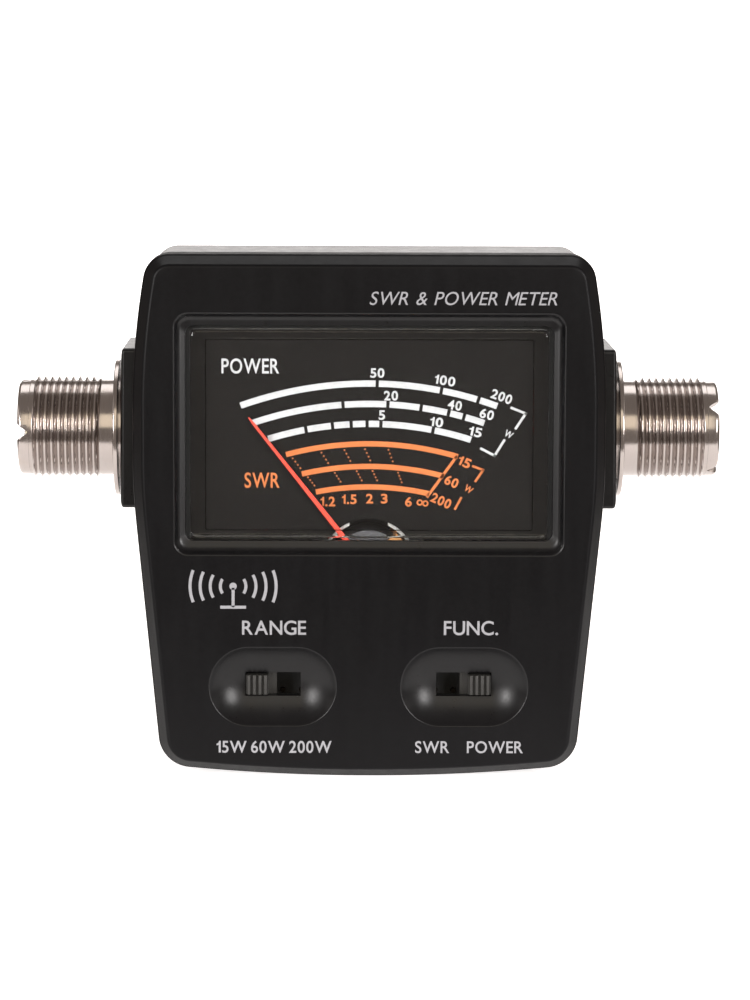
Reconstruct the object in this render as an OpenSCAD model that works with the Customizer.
// SWR and power meter: a handheld in-line meter with a moving-coil indicator behind a clear window,
// two slide switches in finger dishes and a UHF socket on each side.
// Frame: +X right seen from the front, -Y is the front face, +Z up, origin at the middle of the case's
// bottom. Millimetres.

/* [Case] */
// widest width of the case, without its side bosses
case_w = 70.4; // [68:0.2:74]
// height of the case
case_h = 78.4; // [78.2:0.2:82]
// depth of the case, front face to back face
case_d = 36; // [36:0.5:42]
// thickness of the case walls
wall = 2; // [1.6:0.1:2.2]
// width of the rounded edge around the front face
edge_w = 1.6; // [0.8:0.1:2]
// depth of the front shell, from the front face to the parting line
front_shell_d = 8; // [7.5:0.1:8.5]

/* [Sockets] */
// height of the socket axis
socket_z = 50.7; // [50:0.1:51.5]
// how far the socket axis lies behind the front face
socket_back = 21; // [20:0.5:22]
// distance from the case's middle to the socket's rim
socket_tip = 53.4; // [52.4:0.05:56]
// thread pitch, 24 per inch
thread_pitch = 1.058; // [1.058:0.001:1.06]

/* [Indicator] */
// height of the needle's pivot
pivot_z = 31.2; // [31:0.1:31.6]
// length of the needle from its pivot to its tip
needle_len = 29; // [26:0.5:30]
// lean of the needle to the left of upright at rest, in degrees
needle_rest = 38.4; // [34:0.1:42]

/* [Switches] */
// distance of each switch from the case's middle
switch_x = 14.3; // [13.8:0.1:14.8]
// height of both switches
switch_z = 14; // [13.6:0.1:14.2]
// travel of each slider
switch_travel = 4.7; // [3.6:0.1:4.7]

/* [Hidden] */
$fn = 64;

// colours
black_plastic = [0.14, 0.135, 0.14];
dial_black = [0.11, 0.1, 0.1];
clear_plastic = [0.85, 0.9, 0.92, 0.3];
nickel = [0.72, 0.69, 0.64];
steel = [0.6, 0.6, 0.62];
brass = [0.78, 0.62, 0.3];
copper = [0.72, 0.4, 0.25];
ptfe = [0.92, 0.92, 0.9];
board_green = [0.12, 0.35, 0.2];
needle_red = [0.95, 0.28, 0.2];
magnet_grey = [0.3, 0.3, 0.32];

eps = 0.01;
seam = 0.2;
slice = 0.1;
front_y = -case_d / 2;
back_y = case_d / 2;
split_y = front_y + front_shell_d;

// the case outline: a flat top, sides that curve in above and slope in straight below, a slightly
// bowed bottom and four round corners
widest_z = 55;
side_r_up = 120;
knee_z = 48;
knee_r = 100;
knee_a = 5.7;
bottom_r = 290;
top_corner_r = 4;
low_corner_r = 5;
rear_inset = 0.4;
up_cx = case_w / 2 - side_r_up;
knee_cx = case_w / 2 - knee_r;
top_cz = case_h - top_corner_r;
top_cx = up_cx + sqrt(pow(side_r_up - top_corner_r, 2) - pow(top_cz - widest_z, 2));
top_a = atan2(top_cz - widest_z, top_cx - up_cx);
// the bottom corner touches the straight side and the bottom arc from inside
corner_out = knee_cx * cos(knee_a) + (bottom_r - knee_z) * sin(knee_a) + knee_r - low_corner_r;
corner_down = sqrt(pow(bottom_r - low_corner_r, 2) - pow(corner_out, 2));
low_px = corner_out * cos(knee_a) - corner_down * sin(knee_a);
low_pz = bottom_r - corner_out * sin(knee_a) - corner_down * cos(knee_a);
base_a = atan2(low_pz - bottom_r, low_px);
side_steps = 9;
corner_steps = 8;
base_steps = 10;

function arc(cx, cz, r, a0, a1, n) = [for (i = [0:n]) let (a = a0 + (a1 - a0) * i / n)
    [cx + r * cos(a), cz + r * sin(a)]];
function right_half(e) = concat(
    arc(0, bottom_r, bottom_r - e, -90, base_a, base_steps),
    arc(low_px, low_pz, low_corner_r - e, base_a, -knee_a, corner_steps),
    arc(knee_cx, knee_z, knee_r - e, -knee_a, 0, side_steps),
    arc(up_cx, widest_z, side_r_up - e, 0, top_a, side_steps),
    arc(top_cx, top_cz, top_corner_r - e, top_a, 90, corner_steps));
function flip(p) = [for (i = [len(p) - 1:-1:0]) [-p[i][0], p[i][1]]];
module outline(e) {
    polygon(concat(right_half(e), flip(right_half(e))));
}

// sweeps a shape drawn in X and Z from y0 to y1
module along_y(y0, y1) {
    translate([0, y1, 0])
        rotate([90, 0, 0])
            linear_extrude(y1 - y0)
                children();
}
// a cylinder along Y
module rod_y(x, z, r, y0, y1) {
    translate([x, y0, z])
        rotate([-90, 0, 0])
            cylinder(r = r, h = y1 - y0);
}
// a cylinder along X
module rod_x(y, z, r, x0, x1) {
    translate([x0, y, z])
        rotate([0, 90, 0])
            cylinder(r = r, h = x1 - x0);
}
// a box given by its low and high corners
module box(lo, hi) {
    translate(lo)
        cube([hi[0] - lo[0], hi[1] - lo[1], hi[2] - lo[2]]);
}
// the same thing on both sides
module both_sides() {
    children();
    mirror([1, 0, 0])
        children();
}
module round_rect(x0, z0, x1, z1, r) {
    translate([x0 + r, z0])
        square([x1 - x0 - 2 * r, z1 - z0]);
    translate([x0, z0 + r])
        square([x1 - x0, z1 - z0 - 2 * r]);
    for (x = [x0 + r, x1 - r], z = [z0 + r, z1 - r])
        translate([x, z])
            circle(r);
}

// window and lens
recess_x = 28.9;
recess_z0 = 33.85;
recess_z1 = 69.8;
opening_x = 27.3;
opening_z0 = 35.85;
opening_z1 = 67.9;
recess_depth = 1.3;
step = 0.15;
lens_x = 26.6;
lens_z0 = 36.3;
lens_z1 = 67.4;
lens_front = front_y + 0.8;
lens_wall = 1.4;
cavity_x = 24.4;
cavity_z0 = 37.3;
cavity_z1 = 65.9;
inner_face = front_y + wall;
flange_t = 1.2;
flange_back = inner_face + flange_t;
flange_x = 28.3;
flange_z0 = 33.6;
flange_z1 = 68.6;
pod_x = 12.4;
pod_z0 = 20.4;
pod_top = 41.9;
pod_back = front_y + 21.2;
base_t = 1.6;
tray_back = front_y + 9.4;
dial_front = front_y + 6;
dial_t = 0.5;
dial_hole_r = 7.4;

// screws
post_top = [28, case_h - 5.8];
post_low = [25.5, 6.8];
post_r = 3.9;
front_post_r = 2.6;
well_r = 2.9;
well_y = 0;
screw_r = 1.25;
screw_head_r = 2.6;
screw_head_h = 1.8;
ear_x = 30.2;
ear_z = 36;
ear_r = 1.8;
board_post_z = [8.6, 17.8];
board_post_r = 2.2;
board_front = front_y + 9;
board_t = 1.6;
small_screw_r = 1;
small_head_r = 1.65;
small_head_h = 1.1;
screw_play = 0.1;

// finger dishes
dish_r = 8.1;
dish_half = 5.95;
dish_straight = 7.1;
dish_y = front_y - sqrt(dish_r * dish_r - dish_half * dish_half);
dish_floor = dish_y + dish_r;
dish_wall = 1.2;
dish_back_x = 9.4;
dish_back_z = 5.6;
slot_w = 8.3;
slot_h = 3.6;

// sockets
socket_y = front_y + socket_back;
thread_r = 7.9375;
root_r = 7.25;
neck_r = 7.3;
rim_r = 7.2;
crest_land = 0.57;
crests = 10;
boss_face = 37.95;
boss_half = 12.1;
// the block sits a little above the socket's axis
boss_up = 0.9;
boss_depth = 10.6;
boss_bulge_r = 110;
pad_face = 31;
flange_r = 10.4;
flange_w = 0.75;
socket_in = 26;
thread_end = socket_tip - 2.05;
thread_start = thread_end - crests * thread_pitch;
shell_bore = 6;
shell_hole = 8.05;
notch_w = 2.4;
notch_d = 1.6;
core_r = 4.75;
cavity_d = 9;
contact_r = 2.6;
contact_bore = 2.03;
contact_tip = socket_tip - 0.9;
contact_depth = 11;
insulator_tip = socket_tip - 1.7;
tail_r = 1.9;
tail_in = 20;
line_r = 1.2;
nut_flats = 19;
nut_t = 2.4;
washer_t = 0.6;
plate_t = 0.9;
nut_clear_r = 11.2;
end_half = 9.6;
end_half_z = 12.3;
end_strip = 7;
channel_half = 8.1;
channel_front = socket_y - 8.2;
channel_back = socket_y + 8.2;

// moving-coil movement, all about the axis x = 0, z = pivot_z
yoke_r = 9;
yoke_in = 6.9;
yoke_front = dial_front + dial_t + 0.1;
yoke_back = yoke_front + 9.5;
yoke_gap = 2.9;
core_front = yoke_front + 0.9;
core_back = core_front + 8.5;
core_rad = 5.5;
coil_in_x = 5.8;
coil_out_x = 6.5;
coil_half_w = 1.4;
coil_gap = 0.3;
coil_end_t = 0.8;
coil_front = core_front - coil_gap - coil_end_t;
coil_back = core_back + coil_gap + coil_end_t;
hub_t = 1.3;
hub_r = 1.5;
pointer_t = 0.3;
pointer_y = coil_front - hub_t - pointer_t;
bridge_t = 0.8;
front_bridge_y = pointer_y - 0.4 - bridge_t;
rear_bridge_y = coil_back + 1;
bridge_h = 3.2;
bridge_x = 8.9;
bridge_post_x = 8;
bridge_post_r = 0.85;
pivot_r = 0.3;
jewel_bore = 0.36;
jewel_r = 1.1;

// ---- case ----
module dish() {
    translate([0, dish_y, switch_z])
        rotate([0, 90, 0])
            rotate_extrude()
                intersection() {
                    union() {
                        for (s = [-1, 1])
                            translate([0, s * dish_straight / 2])
                                circle(dish_r);
                        square([2 * dish_r, dish_straight], center = true);
                    }
                    translate([0, -2 * dish_r])
                        square([2 * dish_r, 4 * dish_r]);
                }
}

module front_solid() {
    hull() {
        along_y(front_y, front_y + slice)
            outline(edge_w);
        along_y(front_y + edge_w * 0.4, front_y + edge_w * 0.4 + slice)
            outline(edge_w * 0.35);
        along_y(front_y + edge_w, split_y)
            outline(0);
    }
}

module front_cover() {
    color(black_plastic)
        difference() {
            union() {
                difference() {
                    front_solid();
                    along_y(inner_face, split_y + 1)
                        outline(wall + 0.4);
                }
                // backing of the two finger dishes
                for (s = [-1, 1])
                    box([s * switch_x - dish_back_x, inner_face - 1, switch_z - dish_back_z],
                        [s * switch_x + dish_back_x, dish_floor + dish_wall, switch_z + dish_back_z]);
                intersection() {
                    union()
                        both_sides() {
                            rod_y(post_top[0], post_top[1], front_post_r, inner_face - eps, split_y);
                            rod_y(post_low[0], post_low[1], front_post_r, inner_face - eps, split_y);
                            rod_y(ear_x, ear_z, ear_r, inner_face - eps, inner_face + 4.6);
                        }
                    along_y(inner_face - 1, split_y + 1)
                        outline(wall * 0.6);
                }
                for (z = board_post_z)
                    rod_y(0, z, board_post_r, inner_face - eps, board_front);
            }
            // window with its sloped recess
            hull() {
                along_y(front_y - slice, front_y)
                    round_rect(-recess_x, recess_z0, recess_x, recess_z1, 2);
                along_y(front_y + recess_depth - slice, front_y + recess_depth)
                    round_rect(-opening_x - step, opening_z0 - step, opening_x + step,
                        opening_z1 + step, 1.5);
            }
            along_y(front_y + recess_depth / 2, inner_face + 1)
                square_between(-opening_x, opening_z0, opening_x, opening_z1);
            for (s = [-1, 1]) {
                translate([s * switch_x, 0, 0])
                    dish();
                box([s * switch_x - slot_w / 2, front_y, switch_z - slot_h / 2],
                    [s * switch_x + slot_w / 2, inner_face + 4, switch_z + slot_h / 2]);
            }
            both_sides() {
                rod_y(post_top[0], post_top[1], screw_r, split_y - 5, split_y + 1);
                rod_y(post_low[0], post_low[1], screw_r, split_y - 5, split_y + 1);
                rod_y(ear_x, ear_z, small_screw_r, inner_face + 0.6, inner_face + 5);
            }
            for (z = board_post_z)
                rod_y(0, z, small_screw_r, board_front - 4, board_front + 1);
        }
}

module boss() {
    intersection() {
        box([pad_face, socket_y - boss_depth, socket_z + boss_up - boss_half],
            [boss_face + 1, socket_y + boss_depth, socket_z + boss_up + boss_half]);
        rod_y(boss_face - boss_bulge_r, socket_z, boss_bulge_r, socket_y - boss_depth, back_y);
    }
}

module rear_cover() {
    color(black_plastic)
        difference() {
            union() {
                difference() {
                    hull() {
                        along_y(split_y, back_y - 2)
                            outline(rear_inset);
                        along_y(back_y - 0.8, back_y - 0.8 + slice)
                            outline(rear_inset + 0.6);
                        along_y(back_y - slice, back_y)
                            outline(rear_inset + 1.9);
                    }
                    along_y(split_y - 1, back_y - wall)
                        outline(rear_inset + wall);
                }
                intersection() {
                    union()
                        both_sides() {
                            rod_y(post_top[0], post_top[1], post_r, split_y, back_y - 1);
                            rod_y(post_low[0], post_low[1], post_r, split_y, back_y - 1);
                        }
                    along_y(split_y, back_y)
                        outline(rear_inset + 1);
                }
                both_sides()
                    boss();
            }
            both_sides() {
                rod_y(post_top[0], post_top[1], well_r, well_y, back_y + 1);
                rod_y(post_low[0], post_low[1], well_r, well_y, back_y + 1);
                rod_y(post_top[0], post_top[1], screw_r + screw_play, split_y - 1, well_y + 1);
                rod_y(post_low[0], post_low[1], screw_r + screw_play, split_y - 1, well_y + 1);
                rod_x(socket_y, socket_z, shell_hole, pad_face - 1, boss_face + 1);
            }
        }
}

// a pan-head cross-slot screw whose head faces +Y, with its seat at y0
module pan_screw(x, z, y0, r, head_r, head_h, len) {
    difference() {
        union() {
            rod_y(x, z, r, y0 - len, y0 + eps);
            rod_y(x, z, head_r, y0, y0 + head_h);
        }
        for (a = [0, 90])
            translate([x, y0 + head_h, z])
                rotate([0, a, 0])
                    cube([head_r * 1.2, head_h, head_r * 0.25], center = true);
    }
}

module case_screws() {
    color(steel)
        both_sides()
            for (p = [post_top, post_low])
                pan_screw(p[0], p[1], well_y, screw_r, screw_head_r, screw_head_h,
                    well_y - split_y + 4.5);
}

// ---- indicator ----
module meter_plan(grow) {
    translate([-flange_x - grow, flange_z0 - grow])
        square([2 * (flange_x + grow), flange_z1 - flange_z0 + 2 * grow]);
    translate([-pod_x - grow, pod_z0 - grow])
        square([2 * (pod_x + grow), flange_z0 - pod_z0 + 2]);
}

module meter_cover() {
    color(clear_plastic)
        difference() {
            union() {
                along_y(lens_front, flange_back)
                    round_rect(-lens_x, lens_z0, lens_x, lens_z1, 0.8);
                along_y(inner_face, flange_back)
                    meter_plan(0);
            }
            along_y(lens_front + lens_wall, flange_back + 1)
                square_between(-cavity_x, cavity_z0, cavity_x, cavity_z1);
        }
}
module square_between(x0, z0, x1, z1) {
    translate([x0, z0])
        square([x1 - x0, z1 - z0]);
}

module meter_base() {
    color(black_plastic)
        difference() {
            union() {
                along_y(flange_back, tray_back)
                    meter_plan(0);
                along_y(flange_back, pod_back)
                    square_between(-pod_x, pod_z0, pod_x, pod_top);
                // ears that take the fixing screws
                both_sides()
                    box([flange_x - 1, inner_face + 4.6, ear_z - 2.2],
                        [ear_x + 1.6, inner_face + 6, ear_z + 2.2]);
            }
            // well for the dial and the needle
            along_y(flange_back - 1, tray_back - base_t)
                square_between(-flange_x + base_t, flange_z0 + base_t, flange_x - base_t,
                    flange_z1 - base_t);
            // well for the movement
            along_y(flange_back - 1, pod_back - base_t)
                square_between(-pod_x + base_t, pod_z0 + base_t, pod_x - base_t, pod_top - base_t);
            both_sides() {
                rod_y(ear_x, ear_z, small_screw_r + screw_play, inner_face + 4, inner_face + 7);
                rod_y(20, 37.5, 0.8, tray_back - base_t - 1, tray_back + 1);
            }
        }
}

module meter_screws() {
    color(steel)
        both_sides()
            pan_screw(ear_x, ear_z, inner_face + 6, small_screw_r, small_head_r, small_head_h, 4.4);
}

module meter_terminals() {
    color(brass)
        both_sides() {
            rod_y(20, 37.5, 0.75, tray_back - base_t - 0.4, tray_back + 3.4);
            rod_y(20, 37.5, 1.5, tray_back, tray_back + 0.5);
        }
}

module dial_plate() {
    color(dial_black)
        difference() {
            union() {
                along_y(dial_front, dial_front + dial_t)
                    square_between(-flange_x + base_t + seam, flange_z0 + base_t + seam,
                        flange_x - base_t - seam, flange_z1 - base_t - seam);
                // spacers that carry the sheet on the floor of the base
                for (x = [-22, 22], z = [40.5, 62])
                    rod_y(x, z, 1.2, dial_front + dial_t - eps, tray_back - base_t);
            }
            rod_y(0, pivot_z, dial_hole_r, dial_front - 1, dial_front + 2);
        }
}

module yoke_ring() {
    color(nickel)
        difference() {
            rod_y(0, pivot_z, yoke_r, yoke_front, yoke_back);
            rod_y(0, pivot_z, yoke_in, yoke_front - 1, yoke_back + 1);
            box([-yoke_gap, yoke_front - 1, pivot_z],
                [yoke_gap, yoke_back + 1, pivot_z + yoke_r + 1]);
        }
}

module core_magnet() {
    color(magnet_grey)
        rod_y(0, pivot_z, core_rad, core_front, core_back);
}

// holds the core in the middle of the ring, below the coil's sweep
module core_clamp() {
    color(brass)
        difference() {
            intersection() {
                rod_y(0, pivot_z, yoke_in, core_front + 1, core_back - 1);
                box([-2.6, core_front, pivot_z - yoke_r], [2.6, core_back, pivot_z]);
            }
            rod_y(0, pivot_z, core_rad, core_front, core_back);
        }
}

module bridge(y0, post0, post1) {
    difference() {
        union() {
            box([-bridge_x, y0, pivot_z - bridge_h / 2], [bridge_x, y0 + bridge_t, pivot_z + bridge_h / 2]);
            both_sides()
                rod_y(bridge_post_x, pivot_z, bridge_post_r, post0, post1);
        }
        rod_y(0, pivot_z, jewel_r, y0 - 1, y0 + bridge_t + 1);
    }
}
module front_bridge() {
    color(brass)
        bridge(front_bridge_y, front_bridge_y + bridge_t - eps, yoke_front);
}
module rear_bridge() {
    color(brass)
        bridge(rear_bridge_y, yoke_back, rear_bridge_y + eps);
}

// jewel screws: a plug in each bridge with a blind bore for the pivot
module jewel_screws() {
    color(steel) {
        difference() {
            rod_y(0, pivot_z, jewel_r, front_bridge_y - 0.3, front_bridge_y + bridge_t);
            rod_y(0, pivot_z, jewel_bore, front_bridge_y + 0.1, front_bridge_y + bridge_t + 1);
        }
        difference() {
            rod_y(0, pivot_z, jewel_r, rear_bridge_y, rear_bridge_y + bridge_t + 0.3);
            rod_y(0, pivot_z, jewel_bore, rear_bridge_y - 1, rear_bridge_y + bridge_t - 0.1);
        }
    }
}

// flat spiral springs, drawn as half turns of growing radius
spring_w = 0.12;
spring_h = 0.3;
spring_r0 = 0.75;
spring_step = 0.3;
spring_halves = 6;
module half_turn(r, side) {
    rotate([0, 0, side > 0 ? 0 : 180])
        rotate_extrude(angle = 180)
            translate([r - spring_w / 2, 0])
                square([spring_w, spring_h]);
}
module spiral() {
    for (i = [0:spring_halves - 1])
        translate([(i % 2 == 0 ? 0 : -spring_step / 2), 0, 0])
            half_turn(spring_r0 + i * spring_step / 2, i % 2 == 0 ? 1 : -1);
}
module hairsprings() {
    color(brass) {
        translate([0, front_bridge_y + bridge_t + 0.35, pivot_z])
            rotate([90, 0, 0])
                spiral();
        translate([0, rear_bridge_y - 0.05, pivot_z])
            rotate([90, 0, 0])
                spiral();
    }
}

// ---- moving system ----
module pointer() {
    color(needle_red)
        translate([0, pointer_y, pivot_z])
            rotate([0, -needle_rest, 0])
                difference() {
                    union() {
                        // blade, narrowing to its tip
                        translate([0, pointer_t, 0])
                            rotate([90, 0, 0])
                                linear_extrude(pointer_t)
                                    polygon([[-0.25, 0], [0.25, 0], [0.2, needle_len - 1],
                                        [0, needle_len], [-0.2, needle_len - 1]]);
                        rotate([-90, 0, 0])
                            cylinder(r = hub_r, h = pointer_t);
                        // tail and cross arms that carry the balance weights
                        box([-0.3, 0, -5.2], [0.3, pointer_t, 0]);
                        box([-5, 0, -0.3], [5, pointer_t, 0.3]);
                    }
                    rotate([-90, 0, 0])
                        translate([0, 0, -1])
                            cylinder(r = 0.6, h = 3);
                }
}

module balance_weights() {
    color(brass)
        translate([0, pointer_y, pivot_z])
            rotate([0, -needle_rest, 0]) {
                for (x = [-5, 3.8])
                    difference() {
                        box([x, -0.15, -0.5], [x + 1.2, pointer_t + 0.15, 0.5]);
                        box([-6, 0, -0.3], [6, pointer_t, 0.3]);
                    }
                difference() {
                    box([-1.1, -0.3, -5.2], [1.1, pointer_t + 0.3, -2.9]);
                    box([-0.3, 0, -6], [0.3, pointer_t, 0]);
                }
            }
}

module moving_coil() {
    color(copper)
        translate([0, 0, pivot_z])
            rotate([0, -needle_rest, 0])
                difference() {
                    box([-coil_out_x, coil_front, -coil_half_w], [coil_out_x, coil_back, coil_half_w]);
                    box([-coil_in_x, coil_front + coil_end_t, -coil_half_w - 1],
                        [coil_in_x, coil_back - coil_end_t, coil_half_w + 1]);
                }
}

// two short pivots, one cemented to each end of the coil
module coil_pivots() {
    color(steel) {
        rod_y(0, pivot_z, pivot_r, front_bridge_y + 0.2, pointer_y);
        rod_y(0, pivot_z, 0.55, pointer_y - eps, coil_front);
        rod_y(0, pivot_z, 0.55, coil_back, rear_bridge_y - 0.5);
        rod_y(0, pivot_z, pivot_r, rear_bridge_y - 0.5 - eps, rear_bridge_y + bridge_t - 0.2);
    }
}

// ---- sockets, drawn for the right side with the axis along +X ----
module on_axis() {
    translate([0, socket_y, socket_z])
        rotate([0, 90, 0])
            rotate_extrude()
                children();
}
function crest(i) = let (x = thread_start + i * thread_pitch)
    [[root_r, x], [thread_r, x + (thread_pitch - crest_land) / 2],
        [thread_r, x + (thread_pitch + crest_land) / 2]];
function crest_run(i) = i < crests ? concat(crest(i), crest_run(i + 1)) : [];
module socket_shell(notch_turn) {
    difference() {
        on_axis()
            polygon(concat(
                [[shell_bore, socket_in], [thread_r, socket_in], [thread_r, boss_face],
                    [flange_r, boss_face], [flange_r, boss_face + flange_w],
                    [neck_r, boss_face + flange_w], [neck_r, thread_start]],
                crest_run(0),
                [[root_r, thread_end], [rim_r, thread_end], [rim_r, socket_tip - 0.5],
                    [rim_r - 0.5, socket_tip], [shell_bore, socket_tip]]));
        for (a = [0, 90])
            translate([socket_tip, socket_y, socket_z])
                rotate([a + notch_turn, 0, 0])
                    rotate([90, 0, 0])
                        linear_extrude(4 * rim_r, center = true)
                            polygon([[eps, -notch_w / 2], [eps, notch_w / 2], [-notch_d, 0.2],
                                [-notch_d, -0.2]]);
    }
}
module insulator() {
    on_axis()
        polygon([[contact_r + 0.02, socket_in + 1], [shell_bore - 0.03, socket_in + 1],
            [shell_bore - 0.03, socket_tip - cavity_d], [core_r, socket_tip - cavity_d],
            [core_r, insulator_tip], [contact_r + 0.02, insulator_tip]]);
}
module contact() {
    on_axis()
        polygon([[line_r + 0.03, tail_in], [tail_r, tail_in], [tail_r, socket_in],
            [contact_r, socket_in], [contact_r, contact_tip - 0.2], [contact_r - 0.2, contact_tip],
            [contact_bore, contact_tip], [contact_bore, contact_tip - contact_depth],
            [0, contact_tip - contact_depth], [0, tail_in + 4], [line_r + 0.03, tail_in + 4]]);
}
module left_socket() {
    color(nickel)
        mirror([1, 0, 0])
            socket_shell(-6);
}
module right_socket() {
    color(nickel)
        socket_shell(-33);
}
module left_insulator() {
    color(ptfe)
        mirror([1, 0, 0])
            insulator();
}
module right_insulator() {
    color(ptfe)
        insulator();
}
module left_contact() {
    color(brass)
        mirror([1, 0, 0])
            contact();
}
module right_contact() {
    color(brass)
        contact();
}
module lock_washers() {
    color(steel)
        both_sides()
            difference() {
                rod_x(socket_y, socket_z, 9.8, pad_face - plate_t - washer_t, pad_face - plate_t);
                rod_x(socket_y, socket_z, shell_hole, pad_face - 5, pad_face);
            }
}
module socket_nuts() {
    nut_x1 = pad_face - plate_t - washer_t;
    color(nickel)
        both_sides()
            difference() {
                translate([nut_x1 - nut_t, socket_y, socket_z])
                    rotate([0, 90, 0])
                        rotate([0, 0, 30])
                            cylinder(r = nut_flats / sqrt(3), h = nut_t, $fn = 6);
                rod_x(socket_y, socket_z, 8, nut_x1 - nut_t - 1, nut_x1 + 1);
            }
}

// ---- directional coupler between the sockets ----
// a folded channel with a plate at each end; its front face is wider near the ends, past the nuts
module coupler_chassis() {
    end_out = pad_face;
    end_in = pad_face - plate_t;
    side_end = end_out - end_strip;
    color(steel)
        difference() {
            union() {
                both_sides() {
                    box([end_in, socket_y - end_half, socket_z - end_half_z],
                        [end_out, socket_y + end_half, socket_z + end_half_z]);
                    box([side_end, channel_front, socket_z - end_half_z],
                        [end_out, channel_front + plate_t, socket_z + end_half_z]);
                }
                box([-side_end - 1, channel_front, socket_z - channel_half],
                    [side_end + 1, channel_front + plate_t, socket_z + channel_half]);
                for (s = [-1, 1])
                    box([-side_end, channel_front, socket_z + s * (channel_half - plate_t / 2) - plate_t / 2],
                        [side_end, channel_back, socket_z + s * (channel_half - plate_t / 2) + plate_t / 2]);
            }
            both_sides() {
                rod_x(socket_y, socket_z, shell_hole, socket_in - 2, pad_face + 1);
                rod_x(socket_y, socket_z, nut_clear_r, side_end + 1, end_in);
            }
        }
}
module main_line() {
    color(copper)
        rod_x(socket_y, socket_z, line_r, -tail_in - 3.6, tail_in + 3.6);
}
board_y = socket_y + 5.6;
board_half_x = 19;
board_half_z = 7;
pickup_x = 14;
pickup_z = 3.4;
pickup_r = 0.6;
module pickup_lines() {
    color(copper)
        for (s = [-1, 1]) {
            rod_x(socket_y, socket_z + s * pickup_z, pickup_r, -pickup_x, pickup_x);
            both_sides() {
                translate([pickup_x, socket_y, socket_z + s * pickup_z])
                    sphere(pickup_r);
                rod_y(pickup_x, socket_z + s * pickup_z, pickup_r, socket_y, board_y + board_t + 0.4);
            }
        }
}
module coupler_board() {
    color(board_green)
        difference() {
            box([-board_half_x, board_y, socket_z - board_half_z],
                [board_half_x, board_y + board_t, socket_z + board_half_z]);
            for (x = [-pickup_x, pickup_x], s = [-1, 1])
                rod_y(x, socket_z + s * pickup_z, pickup_r + 0.05, board_y - 1, board_y + board_t + 1);
        }
}
// an axial part lying on a board: a body with a lead at each end bent down to the face at y0
module axial_part(x, z, y0, r, len, pitch, lead_r) {
    rod_x(y0 + r + 0.3, z, r, x - len / 2, x + len / 2);
    rod_x(y0 + r + 0.3, z, lead_r, x - pitch / 2, x + pitch / 2);
    for (s = [-1, 1]) {
        translate([x + s * pitch / 2, y0 + r + 0.3, z])
            sphere(lead_r);
        rod_y(x + s * pitch / 2, z, lead_r, y0, y0 + r + 0.3);
    }
}
part_face = board_y + board_t;
module coupler_diodes() {
    color([0.75, 0.45, 0.3])
        both_sides()
            axial_part(7.5, socket_z + 1, part_face, 0.9, 4, 7, 0.25);
}
module coupler_resistors() {
    color([0.55, 0.75, 0.8])
        both_sides()
            axial_part(7.5, socket_z - 2.2, part_face, 1.1, 6, 9, 0.3);
}
module coupler_capacitors() {
    color([0.8, 0.55, 0.25])
        both_sides()
            translate([7.5, part_face, socket_z + 4.6]) {
                translate([-2.2, 0.4, -0.8])
                    cube([4.4, 3.2, 1.6]);
                for (x = [-1.3, 1.3])
                    translate([x, 0, 0])
                        rotate([-90, 0, 0])
                            cylinder(r = 0.25, h = 0.5);
            }
}

// ---- switches, drawn about x = 0 and moved to each side ----
body_front = dish_floor + dish_wall;
body_back = board_front;
body_half_x = 6.6;
body_half_z = 3.2;
shell_t = 0.5;
slider_half_x = 2.9;
slider_half_z = 2.2;
stem_half_x = 1.675;
stem_half_z = 1.5;
knob_top = dish_floor - 1.2;
slider_front = body_front + shell_t + 0.2;
slider_back = slider_front + 1.8;
rib_count = 4;
term_pitch = 2.8;
term_row = 1.8;
term_r = 0.35;
term_hole_r = 0.4;
module switch_body() {
    difference() {
        box([-body_half_x, body_front, switch_z - body_half_z],
            [body_half_x, body_back, switch_z + body_half_z]);
        box([-body_half_x + shell_t, body_front + shell_t, switch_z - body_half_z + shell_t],
            [body_half_x - shell_t, body_back - 1, switch_z + body_half_z - shell_t]);
        box([-slot_w / 2, body_front - 1, switch_z - slot_h / 2],
            [slot_w / 2, body_front + 1, switch_z + slot_h / 2]);
        for (i = [-1.5, -0.5, 0.5, 1.5], k = [-1, 1])
            rod_y(i * term_pitch, switch_z + k * term_row, term_hole_r, body_back - 2, body_back + 1);
    }
}
// the slider's stem with its ribbed top, and the foot that keeps it in the housing
module slider() {
    pitch = 2 * stem_half_x / rib_count;
    difference() {
        union() {
            box([-stem_half_x, knob_top, switch_z - stem_half_z],
                [stem_half_x, slider_front + eps, switch_z + stem_half_z]);
            box([-slider_half_x, slider_front, switch_z - slider_half_z],
                [slider_half_x, slider_back, switch_z + slider_half_z]);
        }
        for (i = [1:rib_count - 1])
            translate([-stem_half_x + i * pitch, knob_top, switch_z])
                cube([pitch * 0.45, 0.7, 2 * stem_half_z + 1], center = true);
    }
}
module wiper() {
    box([-slider_half_x + 0.4, slider_back, switch_z - 1.6], [slider_half_x - 0.4, slider_back + 0.3, switch_z - 0.5]);
    box([-slider_half_x + 0.4, slider_back, switch_z + 0.5], [slider_half_x - 0.4, slider_back + 0.3, switch_z + 1.6]);
}
rest_shift = switch_travel / 2;
module range_switch_body() {
    color(steel)
        translate([-switch_x, 0, 0])
            switch_body();
}
module function_switch_body() {
    color(steel)
        translate([switch_x, 0, 0])
            switch_body();
}
module range_knob() {
    color(black_plastic)
        translate([-switch_x - rest_shift, 0, 0])
            slider();
}
module function_knob() {
    color(black_plastic)
        translate([switch_x + rest_shift, 0, 0])
            slider();
}
module range_wiper() {
    color(copper)
        translate([-switch_x - rest_shift, 0, 0])
            wiper();
}
module function_wiper() {
    color(copper)
        translate([switch_x + rest_shift, 0, 0])
            wiper();
}
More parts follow.
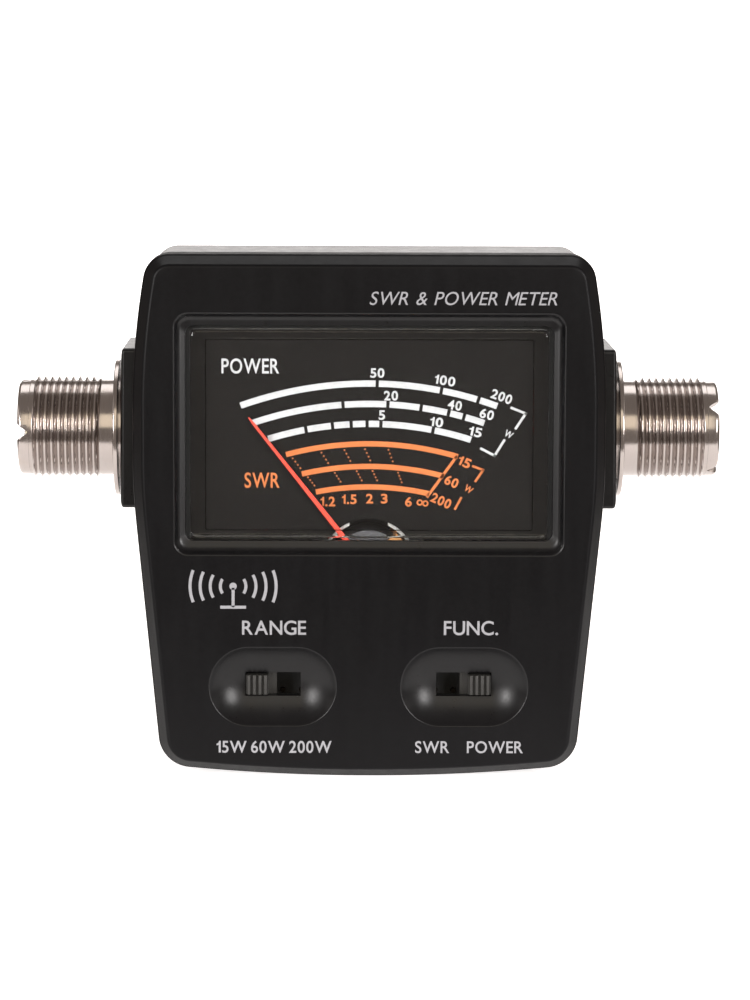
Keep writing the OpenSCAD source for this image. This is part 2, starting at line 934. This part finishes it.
// two rows of four terminals on each switch, through the board
module switch_terminals() {
    color(brass)
        for (s = [-1, 1], i = [-1.5, -0.5, 0.5, 1.5], k = [-1, 1])
            rod_y(s * switch_x + i * term_pitch, switch_z + k * term_row, term_r, board_front - 1.6,
                board_front + board_t + 0.9);
}
sw_board_x = 21.2;
sw_board_z0 = 6.2;
sw_board_z1 = 20;
module switch_board() {
    color(board_green)
        difference() {
            box([-sw_board_x, board_front, sw_board_z0], [sw_board_x, board_front + board_t, sw_board_z1]);
            for (s = [-1, 1], i = [-1.5, -0.5, 0.5, 1.5], k = [-1, 1])
                rod_y(s * switch_x + i * term_pitch, switch_z + k * term_row, term_hole_r, board_front - 1,
                    board_front + board_t + 1);
            for (z = board_post_z)
                rod_y(0, z, small_screw_r + screw_play, board_front - 1, board_front + board_t + 1);
        }
}
module board_screws() {
    color(steel)
        for (z = board_post_z)
            pan_screw(0, z, board_front + board_t, small_screw_r, small_head_r, small_head_h, 4.6);
}
module scale_resistors() {
    color([0.8, 0.7, 0.5])
        for (s = [-1, 1], z = [9, 18.2])
            axial_part(s * switch_x, z, board_front + board_t, 0.9, 4.6, 8, 0.25);
}

// ---- wiring: flat insulated wires, each bent in a plane of constant X ----
wire_half = 0.55;
bend_r = 0.62;
// pts are [y, z] pairs
module wire(x, pts) {
    translate([x - wire_half, 0, 0])
        rotate([90, 0, 90])
            linear_extrude(2 * wire_half) {
                for (p = pts)
                    translate(p)
                        circle(bend_r);
                for (i = [0:len(pts) - 2]) {
                    v = pts[i + 1] - pts[i];
                    translate(pts[i])
                        rotate(atan2(v[1], v[0]))
                            translate([0, -wire_half])
                                square([norm(v), 2 * wire_half]);
                }
            }
}
module hookup_wires() {
    low_y = board_front + board_t + bend_r;
    high_y = part_face + bend_r;
    color([0.7, 0.15, 0.12])
        for (s = [-1, 1]) {
            // coupler output down to the switch board
            wire(s * 17, [[high_y, 45], [high_y + 3, 42], [high_y + 3, 24], [low_y + 2, 15],
                [low_y, 13.8]]);
            // meter terminal down to the switch board
            wire(s * 20, [[tray_back + 3.4 + bend_r, 37.5], [tray_back + 5.4, 35], [low_y + 3, 22],
                [low_y, 18]]);
        }
}

front_cover();
rear_cover();
case_screws();
meter_cover();
dial_plate();
meter_base();
meter_screws();
meter_terminals();
yoke_ring();
core_magnet();
core_clamp();
front_bridge();
rear_bridge();
jewel_screws();
hairsprings();
left_socket();
right_socket();
left_insulator();
right_insulator();
left_contact();
right_contact();
socket_nuts();
lock_washers();
coupler_chassis();
main_line();
pickup_lines();
coupler_board();
coupler_diodes();
coupler_resistors();
coupler_capacitors();
range_switch_body();
function_switch_body();
switch_terminals();
switch_board();
board_screws();
scale_resistors();
hookup_wires();
pointer();
moving_coil();
coil_pivots();
balance_weights();
range_knob();
range_wiper();
function_knob();
function_wiper();
